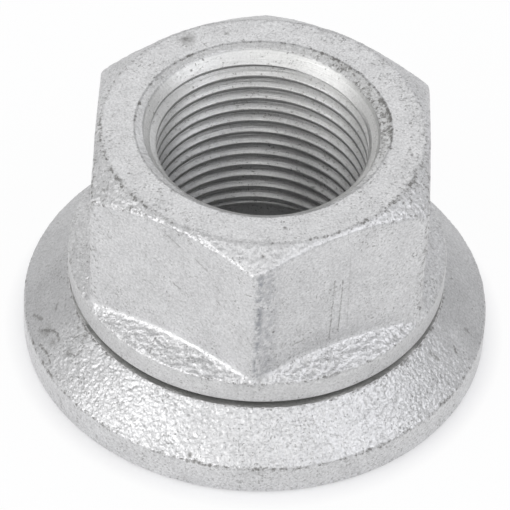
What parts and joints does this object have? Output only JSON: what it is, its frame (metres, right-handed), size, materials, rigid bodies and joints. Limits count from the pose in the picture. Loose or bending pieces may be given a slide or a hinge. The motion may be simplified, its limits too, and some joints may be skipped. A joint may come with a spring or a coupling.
{
  "type": "wheel nut",
  "caption": "Hexagon wheel nut with a round collar and a captive conical pressure washer that turns freely under it.",
  "frame": {"origin": "centre of the pressure washer's flat seating face", "axes": "+Z along the thread's axis, from the seating face to the nut's free end; a corner of the hexagon points to -Y"},
  "size_m": [0.046, 0.046, 0.0266],
  "materials": {
    "nut_zinc": "forged steel with a matt grey zinc-flake coating, light scratches and grime in the edges",
    "washer_zinc": "forged steel with a matt grey zinc-flake coating and an orange-peel forging skin"
  },
  "bodies": {
    "nut": {"nut_body": "nut_zinc"},
    "washer": {"pressure_washer": "washer_zinc"}
  },
  "joints": [
    {"name": "washer_spin", "type": "hinge", "parent": "nut", "child": "washer", "pos_m": [0, 0, 0.0045], "axis": [0, 0, 1], "continuous": true}
  ]
}
